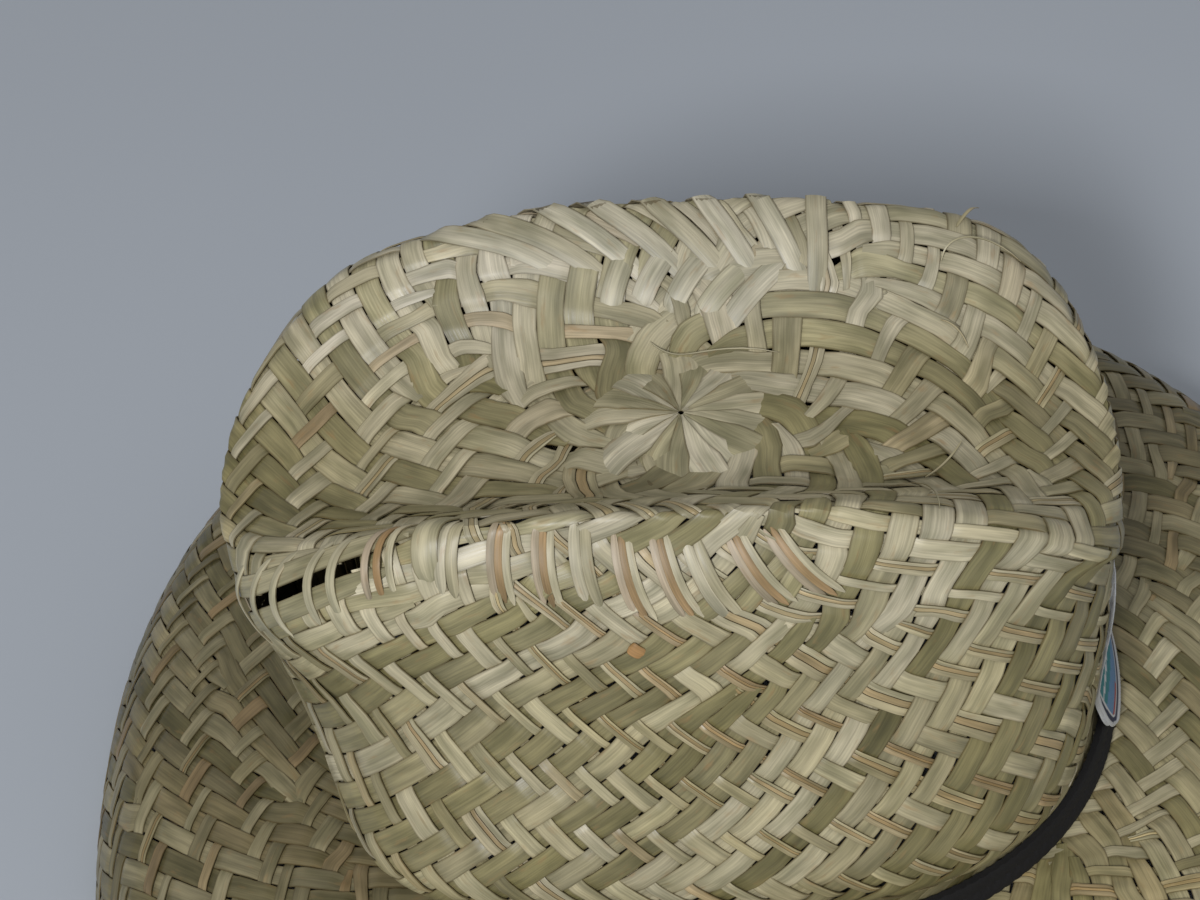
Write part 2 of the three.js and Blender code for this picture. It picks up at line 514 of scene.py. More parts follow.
def meridians(sections: tuple[Section, ...], angles: np.ndarray, steps: int) -> np.ndarray:
    """Draws the smooth lines down the hat through its sections.

    Args:
        sections: The ovals, in order.
        angles: Angles from the front, one for each line.
        steps: Points between two ovals.

    Returns:
        Points, (rows, angles, 3).
    """
    knots = np.stack([section.points(angles) for section in sections])
    knots = np.concatenate([2 * knots[:1] - knots[1:2], knots, 2 * knots[-1:] - knots[-2:-1]])
    gaps = np.maximum(np.sum(np.diff(knots, axis=0) ** 2, -1) ** 0.25, 1e-4)[..., None]
    rows = []
    spans = len(sections) - 1
    for row in range(spans * steps + 1):
        k = min(row // steps, spans - 1)
        t = row / steps - k
        p0, p1, p2, p3 = knots[k : k + 4]
        d0, d1, d2 = gaps[k : k + 3]
        m1 = ((p1 - p0) / d0 - (p2 - p0) / (d0 + d1) + (p2 - p1) / d1) * d1
        m2 = ((p2 - p1) / d1 - (p3 - p1) / (d1 + d2) + (p3 - p2) / d2) * d1
        curve = (2 * p1 - 2 * p2 + m1 + m2) * t + (3 * p2 - 3 * p1 - 2 * m1 - m2)
        rows.append(p1 + m1 * t + curve * t * t)
    return np.stack(rows)


@dataclass
class Sheet:
    """A woven wall laid out in rings, from its first ring out to its last.

    Ring numbers grow outward, and a turn runs from 0 at the front, by the left, back to 1.
    The pitch gives the room between rings at a distance from the first section. From a share of
    that distance on, the rings level out to follow the last section.
    """

    sections: tuple[Section, ...]
    pitch: Callable[[np.ndarray], np.ndarray]
    start: float
    level_from: float
    lead: int = 0  # rings inside the first one, which only the rosette uses
    sink: float = 0.95  # depth of the weave's middle under the outer wall, in millimetres
    columns: int = 1024  # points round a ring
    fineness: int = 4  # rows of points for a ring
    lines: int = 1440  # lines down the wall that the rings are cut from
    line_steps: int = 24  # points on a line between two sections
    samples: int = 2000  # distances that the room between rings is summed over

    def __post_init__(self) -> None:
        """Works out the rings' places on the wall."""
        angles = np.linspace(0, 2 * np.pi, self.lines + 1)[:-1]
        lines = meridians(self.sections, angles, self.line_steps)
        steps = np.linalg.norm(np.diff(lines, axis=0), axis=-1)
        down = np.concatenate([np.zeros((1, len(angles))), np.cumsum(steps, axis=0)])
        total = down[-1]
        mean = float(total.mean())
        fine = np.linspace(self.start, mean, self.samples)
        count = np.concatenate([[0], np.cumsum(np.diff(fine) / self.pitch(fine[1:]))])
        self.rings = int(round(count[-1]))
        ring = np.arange(-self.lead, self.rings + 1e-6, 1 / self.fineness)
        away = np.interp(ring, count * self.rings / count[-1], fine)
        early = ring < 0
        away[early] = self.start * (1 + ring[early] / (self.lead + 0.05)) if self.lead else self.start
        level = ease(away / mean, self.level_from, 1.0)
        self.first = float(-self.lead)
        rows = []
        for distance, share in zip(away, level):
            want = np.clip(distance + (total - mean) * share, 0, total)
            rows.append(self._cut(lines, down, want))
        self.grid = np.stack([self._even(row) for row in rows])
        self.away = away
        self.ring_at = ring
        slope = np.gradient(self.grid, axis=0)
        along = np.roll(self.grid, -1, axis=1) - np.roll(self.grid, 1, axis=1)
        normal = np.cross(slope, along)
        normal /= np.maximum(np.linalg.norm(normal, axis=-1, keepdims=True), 1e-9)
        self.normal = normal
        self.girth = np.linalg.norm(np.roll(self.grid, -1, axis=1) - self.grid, axis=-1).sum(1)

    @staticmethod
    def _cut(lines: np.ndarray, down: np.ndarray, want: np.ndarray) -> np.ndarray:
        """Finds the point of each line at its wanted distance.

        Args:
            lines: Points of the lines, (points, lines, 3).
            down: Distance down each line to each of its points.
            want: The wanted distance on each line.

        Returns:
            Points, (lines, 3).
        """
        index = np.clip((down < want[None]).sum(0) - 1, 0, len(down) - 2)
        column = np.arange(len(want))
        low, high = down[index, column], down[index + 1, column]
        t = np.clip((want - low) / np.maximum(high - low, 1e-9), 0, 1)[:, None]
        return lines[index, column] * (1 - t) + lines[index + 1, column] * t

    def _even(self, row: np.ndarray) -> np.ndarray:
        """Spreads points evenly round a closed ring, starting at the front.

        Args:
            row: The ring's points.

        Returns:
            As many points as the sheet has columns.
        """
        loop = np.concatenate([row, row[:1]])
        run = np.concatenate([[0], np.cumsum(np.linalg.norm(np.diff(loop, axis=0), axis=-1))])
        turn = np.linspace(0, run[-1], self.columns + 1)[:-1]
        return np.stack([np.interp(turn, run, loop[:, axis]) for axis in range(3)], axis=-1)

    def at(self, ring: np.ndarray, turn: np.ndarray) -> tuple[np.ndarray, np.ndarray]:
        """Gives points and outward directions.

        Args:
            ring: Ring numbers, whole or between.
            turn: Turns round the hat, any number of them.

        Returns:
            Points on the middle of the weave and unit directions.
        """
        u = np.clip((ring - self.first) * self.fineness, 0, len(self.grid) - 1.0001)
        v = (turn % 1.0) * self.columns
        i, j = u.astype(int), v.astype(int) % self.columns
        a, b = (u - i)[..., None], (v - np.floor(v))[..., None]
        k = (j + 1) % self.columns

        def mix(grid: np.ndarray) -> np.ndarray:
            """Blends the grid's four values round each place."""
            near = grid[i, j] * (1 - b) + grid[i, k] * b
            far = grid[i + 1, j] * (1 - b) + grid[i + 1, k] * b
            return near * (1 - a) + far * a

        normal = mix(self.normal)
        normal /= np.maximum(np.linalg.norm(normal, axis=-1, keepdims=True), 1e-9)
        return mix(self.grid) - normal * self.sink, normal

    def girth_at(self, ring: float) -> float:
        """Gives the length round one ring."""
        return float(np.interp(ring, self.ring_at, self.girth))

    def ring_of(self, distance: np.ndarray) -> np.ndarray:
        """Gives the ring number at a distance from the centre, inside the first rings."""
        return np.interp(distance, self.away, self.ring_at)


# The twill

CREAM = "C4BB9F"  # bleached straw
BLEACH_CUT = 0.5  # share that is taken off what a strip is lighter than that
TAN = "B99A6E"  # the narrow middle lane of a split strip
PALE_TAN = "B5A88C"  # the lane beside it
GREENER = np.array([-0.04, -0.065, -0.20])  # change of red, green and blue at greenness 1
RIDGE_RING = 14  # ring that the near ridge runs along
RIDGE_TURNS = (0.64, 0.83)  # turns between which it does
RIDGE_SPLITS = (2.4, 0.8)  # how much more often strips are split there, and elsewhere
REPEAT = 4  # crossings after which a strip's overs and unders start again
DIVE_MARKS = (0.0, 0.16, 0.32, 0.5, 0.68, 0.84)  # places for points between two rings
FLAT_MARKS = (0.0, 0.5)


class Lay(Enum):
    """The two ways that strips run out from the centre; the value is their sense of turn."""

    NARROW = 1
    WIDE = -1


@dataclass
class Path:
    """One strip's way through the rings: its turn at each, and its place among the crossings."""

    first: int
    turn: list[float] = field(default_factory=list)
    slot: list[int] = field(default_factory=list)


@dataclass
class Twill:
    """The crossings of a twill whose strips grow in number as the rings grow longer.

    The spacing gives the millimetres between crossings on a ring, by its number.
    """

    sheet: Sheet
    spacing: Callable[[float], float]
    seed: int
    rounds: int = 6  # times that a ring's crossings are evened out
    evening: float = 0.5  # share of the unevenness that one round takes away

    def __post_init__(self) -> None:
        """Lays the rings of crossings and follows each strip through them."""
        self.known_slopes: dict[tuple[Lay, int], np.ndarray] = {}
        rng = np.random.default_rng(self.seed)
        rings = self.sheet.rings
        want = [round(self.sheet.girth_at(k) / self.spacing(k)) for k in range(rings + 1)]
        want = np.maximum.accumulate(want)
        size = int(want[0])
        turn = np.arange(size) / size
        self.turns = [turn]
        owners = {Lay.NARROW: np.arange(size), Lay.WIDE: np.arange(size)}
        self.owners = {lay: [owners[lay]] for lay in Lay}
        self.paths: dict[Lay, list[Path]] = {lay: [Path(0) for _ in range(size)] for lay in Lay}
        for k in range(1, rings + 1):
            after = np.append(turn[1:], turn[0] + 1)
            turn = (turn + after) / 2
            owners[Lay.WIDE] = np.roll(owners[Lay.WIDE], -1)
            extra = int(want[k]) - len(turn)
            if extra > 0:
                offset = rng.random()
                spots = ((np.arange(extra) + offset) * len(turn) / extra).astype(int) % len(turn)
                turn, owners = self._insert(turn, owners, np.unique(spots), k)
            for _ in range(self.rounds):
                before = np.append(turn[-1] - 1, turn[:-1])
                after = np.append(turn[1:], turn[0] + 1)
                turn = turn + self.evening * ((before + after) / 2 - turn)
            self.turns.append(turn)
            for lay in Lay:
                self.owners[lay].append(owners[lay])
        self._follow()

    def _insert(
        self, turn: np.ndarray, owners: dict[Lay, np.ndarray], spots: np.ndarray, ring: int
    ) -> tuple[np.ndarray, dict[Lay, np.ndarray]]:
        """Starts a new pair of strips between crossings.

        Args:
            turn: The ring's crossings.
            owners: The strip of each way at each crossing.
            spots: The crossings after which a pair starts.
            ring: The ring's number.

        Returns:
            The new crossings and owners.
        """
        after = np.append(turn[1:], turn[0] + 1)
        middle = (turn[spots] + after[spots]) / 2
        new_turn = np.insert(turn, spots + 1, middle)
        new_owners = {}
        for lay in Lay:
            known = len(self.paths[lay])
            self.paths[lay] += [Path(ring) for _ in spots]
            fresh = known + np.arange(len(spots))
            new_owners[lay] = np.insert(owners[lay], spots + 1, fresh)
        return new_turn, new_owners

    def _follow(self) -> None:
        """Writes each strip's crossings into its path."""
        for lay in Lay:
            for k, owner in enumerate(self.owners[lay]):
                for slot, strip in enumerate(owner):
                    path = self.paths[lay][strip]
                    value = float(self.turns[k][slot])
                    if path.turn:
                        value -= round(value - path.turn[-1])
                    path.turn.append(value)
                    path.slot.append(slot)

    def slopes(self, lay: Lay, strip: int) -> np.ndarray:
        """Gives how far a strip turns from ring to ring.

        Args:
            lay: The way the strip runs.
            strip: Its number.

        Returns:
            The turn for one ring, at each of its crossings.
        """
        path = self.paths[lay][strip]
        if len(path.turn) < 2:
            return np.array([lay.value * 0.5 / len(self.turns[path.first])] * len(path.turn))
        return np.gradient(np.array(path.turn))

    def cross_slopes(self, lay: Lay, strip: int) -> np.ndarray:
        """Gives the slopes of the strips that cross a strip.

        Args:
            lay: The way the strip runs.
            strip: Its number.

        Returns:
            The other strip's turn for one ring, at each crossing.
        """
        other = Lay.WIDE if lay is Lay.NARROW else Lay.NARROW
        path = self.paths[lay][strip]
        found = []
        for step, slot in enumerate(path.slot):
            ring = path.first + step
            crossing = int(self.owners[other][ring][slot])
            key = (other, crossing)
            if key not in self.known_slopes:
                self.known_slopes[key] = self.slopes(other, crossing)
            found.append(self.known_slopes[key][ring - self.paths[other][crossing].first])
        return np.array(found)


@dataclass(frozen=True)
class Leaf:
    """How one way's strips are cut and coloured."""

    widths: tuple[float, ...]  # as shares of the room between strips, used in turn
    width_spread: float
    palette: tuple[tuple[str, float], ...]  # colours and how often each is picked
    split_share: float
    across: int  # faces across a whole strip


@dataclass(frozen=True)
class Slit:
    """A slanting gap on the near ridge, where the strips have drawn apart."""

    start: tuple[float, float] = (24.5, 0.557)  # ring and turn
    end: tuple[float, float] = (16.7, 0.616)
    half: float = 0.45  # half its width, in rings
    taper: float = 8.0  # it has its full width from an eighth of its length on

    def along(self, share: np.ndarray) -> tuple[np.ndarray, np.ndarray]:
        """Gives the ring and turn at a share of the way along the gap."""
        ring = self.start[0] + share * (self.end[0] - self.start[0])
        return ring, self.start[1] + share * (self.end[1] - self.start[1])

    def inside(self, ring: np.ndarray, turn: np.ndarray) -> np.ndarray:
        """Tells which places lie in the gap.

        Args:
            ring: The places' rings.
            turn: Their turns.

        Returns:
            True for each place in the gap.
        """
        share = (turn % 1.0 - self.start[1]) / (self.end[1] - self.start[1])
        room = self.half * np.clip(self.taper * np.minimum(share, 1 - share), 0, 1)
        return np.abs(ring - self.along(share)[0]) < room


@dataclass
class Weaver:
    """Turns a twill's paths into strips with thickness that pass over and under.

    Heights and thicknesses are in millimetres, and lengths along a strip in rings.
    """

    twill: Twill
    lift: float = 0.40  # height of a strip above or below the weave's middle
    thick: float = 0.30
    arch: float = 0.14  # rise of a strip's middle over its sides
    ramp: float = 0.36  # half the length of a dive
    seed: int = SEED
    tail: float = 0.3  # how far a strip runs past the last ring
    start: float = 0.75  # how far before its first crossing a new strip starts
    lowest: float = 0.7  # lowest height of a strip's upper side above the floor
    wander: float = 0.07  # how much a strip's width varies along it
    fullest: float = 0.99  # largest width, as a share of the room between strips
    puff: float = 0.06  # how much floats differ in height
    lean: float = 0.11  # how much they tilt
    tone: float = 0.09  # how much they differ in brightness
    lane_gap: float = 0.03  # half the room between split strips, as a share of the width
    fade_run: float = 60.0  # millimetres over which a strip's two colours change places
    slit: Slit | None = None

    def weave(self, lay: Lay, leaf: Leaf, shade: Callable[[np.ndarray], np.ndarray]) -> MeshMaker:
        """Makes all strips of one way.

        Args:
            lay: The way the strips run.
            leaf: Their cut and colours.
            shade: Brightness, partly painted light, and greenness by place, from points to (..., 2).

        Returns:
            The gathered mesh.
        """
        maker = MeshMaker()
        rng = np.random.default_rng(self.seed + 7 * lay.value)
        names = [linear(name) for name, _ in leaf.palette]
        odds = np.array([share for _, share in leaf.palette])
        for strip, path in enumerate(self.twill.paths[lay]):
            pick = rng.choice(len(names), size=2, p=odds / odds.sum())
            colours = np.array([names[pick[0]], names[pick[1]]])
            width = leaf.widths[strip % len(leaf.widths)] * (1 + leaf.width_spread * rng.normal())
            split = rng.random() < leaf.split_share * self._ridge_share(path)
            if len(path.turn) < 2:
                continue
            self._strip(maker, lay, strip, path, width, colours, split, leaf.across, rng, shade)
        return maker

    @staticmethod
    def _ridge_share(path: Path) -> float:
        """Gives how much more often a strip is split where it crosses the near ridge.

        Args:
            path: The strip's crossings.

        Returns:
            A factor for the share of split strips.
        """
        step = RIDGE_RING - path.first
        if not 0 <= step < len(path.turn):
            return 1.0
        there, elsewhere = RIDGE_SPLITS
        return there if RIDGE_TURNS[0] < path.turn[step] % 1.0 < RIDGE_TURNS[1] else elsewhere

    @staticmethod
    def _samples(first: float, last: float) -> np.ndarray:
        """Gives ring numbers to build a strip at, closer where it dives.

        Args:
            first: The strip's start.
            last: Its end.

        Returns:
            Ring numbers, with those of both ends.
        """
        marks = []
        for k in range(math.floor(first), math.ceil(last) + 1):
            marks += [k + t for t in (DIVE_MARKS if k % 2 == 1 else FLAT_MARKS)]
        kept = [mark for mark in marks if first < mark < last]
        return np.array([first, *kept, last])

    def _strip(
        self,
        maker: MeshMaker,
        lay: Lay,
        strip: int,
        path: Path,
        width: float,
        colours: np.ndarray,
        split: bool,
        across: int,
        rng: np.random.Generator,
        shade: Callable[[np.ndarray], np.ndarray],
    ) -> None:
        """Makes one strip, whole or split lengthwise.

        Args:
            maker: Gets the strip.
            lay: The way it runs.
            strip: Its number.
            path: Its crossings.
            width: Its width as a share of the room between strips.
            colours: Its two colours.
            split: Whether it is split into thinner ones.
            across: Faces across a whole strip.
            rng: The source of chance.
            shade: Brightness, partly painted light, and greenness by place.
        """
        sheet = self.twill.sheet
        sense = lay.value
        nodes = path.first + np.arange(len(path.turn))
        first = path.first - (self.start if path.first > 0 else 0.0)
        last = nodes[-1] + self.tail
        x = self._samples(first, last)
        turn = self._curve(nodes, np.array(path.turn), x)
        cross = np.interp(x, nodes, self.twill.cross_slopes(lay, strip))
        wander = 1 + self.wander * np.sin(x * rng.uniform(0.5, 1.1) + rng.uniform(0, 6.3))
        taper = 0.55 + 0.45 * ease(x, first, path.first + 0.6) if path.first > 0 else 1.0
        half = np.minimum(width * wander * taper, self.fullest) / 2
        # Over two and under two: 1 is on top of the other way's strips, and -1 under them.
        phase = ((x - 0.5 + REPEAT / 2) % REPEAT) - REPEAT / 2
        over = 1 - 2 * ease(np.abs(phase), 1 - self.ramp, 1 + self.ramp)
        if path.first > 0:  # a new strip comes out from under the others
            over = over - 1.2 * (1 - ease(x, path.first - 0.6, path.first + 0.2)) * (over > 0)
        # A float is the part between two dives. Each has its own tilt, height and tone.
        shift = 1.5 if sense > 0 else 3.5
        floats = np.floor((x + shift) / REPEAT).astype(int) - int(first // REPEAT)
        loose = rng.normal(0, 1, (floats.max() + 2, 3))
        tilt, puff, tone = loose[floats].T
        height = sense * over * self.lift + self.puff * np.abs(puff) * (sense * over > 0)
        # A lane runs from one share of the half width to another, and has its own warmth.
        lanes = [(-1.0, 1.0, 0.0)]
        if split:
            a, b = -0.25 + 0.2 * rng.random(), 0.35 + 0.2 * rng.random()
            gap = self.lane_gap
            lanes = [(-1.0, a - gap, 0.1), (a + gap, b - gap, 0.75), (b + gap, 1.0, -0.1)]
        origin = rng.uniform(0, PATTERN_ROOM, 2)
        for low, high, warm in lanes:
            faces = across if not split else 2
            v = np.linspace(low, high, faces + 1)[None, :] * half[:, None]
            ring = x[:, None] - sense * v
            where = turn[:, None] - sense * v * cross[:, None]
            points, normal = sheet.at(ring, where)
            inside = np.linspace(-1, 1, faces + 1)[None, :]
            crown = self.arch * (1 - inside**2)
            lean = self.lean * tilt[:, None] * np.linspace(low, high, faces + 1)[None, :]
            top = points + normal * (height[:, None] + crown + lean + self.thick / 2)[..., None]
            middle = top[:, faces // 2]
            run = np.concatenate([[0], np.cumsum(np.linalg.norm(np.diff(middle, axis=0), axis=-1))])
            span = np.linalg.norm(top[:, -1] - top[:, 0], axis=-1)[:, None]
            place = np.stack(
                [np.repeat(run[:, None], faces + 1, 1), inside / 2 * span + 9 * low], axis=-1
            )
            place = place + origin
            fade = 0.5 + 0.5 * np.sin(run / self.fade_run + origin[0])
            base = colours[0] + (colours[1] - colours[0]) * (0.75 * fade[:, None] ** 2)
            base = base * (1 + self.tone * tone[:, None])
            if warm > 0.5:
                base = base * 0.35 + np.array(linear(TAN)) * 0.65
            elif warm > 0:
                base = base * 0.6 + np.array(linear(PALE_TAN)) * 0.4
            # The place's brightness, partly painted light, and its greenness tint the strip.
            look = shade(points)
            rgb = base[:, None, :] * look[..., :1]
            green = look[..., 1:]
            rgb = rgb * (1 + green * GREENER)
            rgb = rgb - BLEACH_CUT * np.maximum(rgb - np.array(linear(CREAM)), 0)
            edge = np.repeat(np.abs(inside), len(x), axis=0)
            top[..., 2] = np.maximum(top[..., 2], self.lowest)
            tint = np.concatenate([rgb, edge[..., None]], axis=-1)
            whole = np.ones(len(x), dtype=bool)
            if self.slit is not None:
                whole = ~self.slit.inside(ring, where).any(axis=1)
            cuts = np.flatnonzero(np.diff(whole.astype(int))) + 1
            for part in np.split(np.arange(len(x)), cuts):
                if whole[part[0]] and len(part) > 1:
                    maker.ribbon(top[part], normal[part], self.thick, place[part], tint[part])

    @staticmethod
    def _curve(nodes: np.ndarray, values: np.ndarray, x: np.ndarray) -> np.ndarray:
        """Follows a smooth line through whole-numbered nodes, straight beyond its ends.

        Args:
            nodes: The ring numbers of the crossings.
            values: The turns there.
            x: Ring numbers to find turns for.

        Returns:
            The turns.
        """
        slope = np.gradient(values)
        i = np.clip(np.floor(x).astype(int) - nodes[0], 0, len(nodes) - 2)
        t = x - nodes[i]
        p, q, m, n = values[i], values[i + 1], slope[i], slope[i + 1]
        inside = p + m * t + (3 * (q - p) - 2 * m - n) * t**2 + (2 * (p - q) + m + n) * t**3
        before = values[0] + slope[0] * (x - nodes[0])
        after = values[-1] + slope[-1] * (x - nodes[-1])
        return np.where(x < nodes[0], before, np.where(x > nodes[-1], after, inside))


# The woven pieces

# Colours of the strips of each way, and how often each is picked.
WIDE_PALETTE = (("A39B78", 0.30), ("918A65", 0.24), ("C8BFA3", 0.26), ("D5CDB8", 0.12), ("B3A98B", 0.08))
NARROW_PALETTE = (("CFC6AC", 0.42), ("C0B697", 0.28), ("A9A080", 0.14), ("C2AA8A", 0.08), ("DAD2C0", 0.08))
BRIM_WIDE = (("A0977A", 0.34), ("8F8866", 0.28), ("C0B79B", 0.24), ("AC9F7F", 0.14))
BRIM_NARROW = (("C9C0A4", 0.44), ("B7AD8E", 0.28), ("9F9678", 0.18), ("BAA280", 0.10))


@dataclass
class Crown:
    """The woven crown: its twill, and the rosette of petals in its dent."""

    narrow: Leaf = Leaf((0.50, 0.80), 0.10, NARROW_PALETTE, 0.24, 2)
    wide: Leaf = Leaf((0.99, 0.96), 0.03, WIDE_PALETTE, 0.0, 4)
    rosette_start: float = 9.0  # distance of the first ring from the weave's centre
    petals: int = 17
    petal_length: float = 26.0
    petal_width: float = 9.8
    petal_thick: float = 0.28
    petal_swirl: float = 0.035  # how far a petal's tip turns round the centre
    petal_tones: tuple[str, ...] = ("D6CCAC", "BDB492", "E0D7BC", "B4AC8A")
    petal_grid: tuple[int, int] = (22, 9)  # points along and across a petal

    def __post_init__(self) -> None:
        """Lays out the crown's rings and crossings."""
        # Rings are 5.4 mm apart in the dent and 3.9 mm on the wall, and crossings 9.4 to 9 mm.
        self.sheet = Sheet(
            CROWN_SECTIONS,
            pitch=lambda s: 5.4 - 1.5 * ease(s, 48, 78),
            start=self.rosette_start,
            level_from=0.28,
            lead=2,
        )
        self.twill = Twill(self.sheet, lambda k: 9.4 - 0.4 * min(k / 20, 1), seed=SEED)
        LOG.info("crown: %d rings, %d strips each way", self.sheet.rings, len(self.twill.turns[-1]))

    def shade(self, points: np.ndarray) -> np.ndarray:
        """Gives brightness, partly painted light, and greenness over the crown.

        Args:
            points: Places on the crown, (..., 3).

        Returns:
            Both at each place, (..., 2).
        """
        x, y, z = points[..., 0], points[..., 1], points[..., 2]
        top = ease(z, 118, 150)
        far = ease(y, 8, 34) * top
        # Matched to the photograph: lighter on top, most of all on the far ridge and at the back.
        # The lighter top is partly creamier straw and partly painted light on the faces turned up to the
        # lamps.
        bright = 0.92 + 0.28 * top + 0.05 * far + 0.26 * ease(-x, 40, 100) * top
        green = 1.15 - 0.65 * top - 0.95 * far
        return np.stack([bright, green], axis=-1)

    def build(self, straw: bpy.types.Material) -> None:
        """Makes and dresses the crown's pieces.

        Args:
            straw: Their finish.
        """
        weaver = Weaver(self.twill, slit=Slit())
        for lay, leaf, name in (
            (Lay.NARROW, self.narrow, "crown_narrow_strips"),
            (Lay.WIDE, self.wide, "crown_wide_strips"),
        ):
            piece = weaver.weave(lay, leaf, self.shade).build(name, straw)
            nodes = ("crown",) if lay is Lay.WIDE else ()
            dress(piece, "crown_straw", *nodes)
        dress(self.rosette(straw), "crown_straw")

    def rosette(self, straw: bpy.types.Material) -> bpy.types.Object:
        """Makes the petals that fan out from the centre and cover the strips' starts.

        Args:
            straw: Their finish.

        Returns:
            The rosette.
        """
        rng = np.random.default_rng(SEED + 3)
        maker = MeshMaker()
        rows, across = self.petal_grid
        tones = [linear(tone) for tone in self.petal_tones]
        share = np.linspace(0.03, 1, rows)
        v = np.linspace(-1, 1, across)[None, :]
        for index in range(self.petals):
            turn = (index + rng.normal(0, 0.08)) / self.petals
            length = self.petal_length * (1 + rng.normal(0, 0.12))
            width = self.petal_width * (1 + rng.normal(0, 0.06))
            away = share * length
            swell = np.minimum(away * math.tan(math.pi / self.petals) * 1.9, width / 2)
            half = swell * np.sqrt(np.clip(1 - ease(share, 0.74, 1.03), 0.0005, 1))
            swirl = self.petal_swirl * (away / length) ** 2
            round_mm = 2 * math.pi * np.maximum(away, 0.6)
            where = turn + swirl[:, None] + v * half[:, None] / round_mm[:, None]
            run = np.repeat(away[:, None], across, axis=1)
            points, normal = self.sheet.at(self.sheet.ring_of(run), where)
            # A petal overlaps the next one, is domed and creased, and dives at its tip.
            fan = 0.5 * v * ease(share, 0.0, 0.25)[:, None]
            rise = 0.95 + 0.15 * rng.random() - 1.9 * ease(share, 0.42 + 0.2 * rng.random(), 0.98)
            dome = 0.35 * (1 - v**2) * ease(share, 0.05, 0.4)[:, None]
            fold = -0.12 * np.exp(-((v - 0.2) ** 2) / 0.02)
            top = points + normal * (rise[:, None] + fan + dome + fold)[..., None]
            place = np.stack([run, v * half[:, None]], axis=-1) + rng.uniform(0, PATTERN_ROOM, 2)
            by_turn = rng.random() < 0.5
            tone = tones[index % len(tones)] if by_turn else tones[int(rng.integers(len(tones)))]
            rgb = np.array(tone)[None, None, :] * (1 + 0.05 * rng.normal())
            # Near the centre the petals are a quarter darker: painted shade in the small hole where they
            # meet.
            rgb = np.broadcast_to(rgb, (rows, across, 3)) * (1 - 0.25 * (share < 0.12))[:, None, None]
            edge = np.broadcast_to(np.abs(v), (rows, across))[..., None]
            tint = np.concatenate([rgb, edge], axis=-1)
            maker.ribbon(top, normal, self.petal_thick, place, tint)
        return maker.build("crown_rosette", straw)


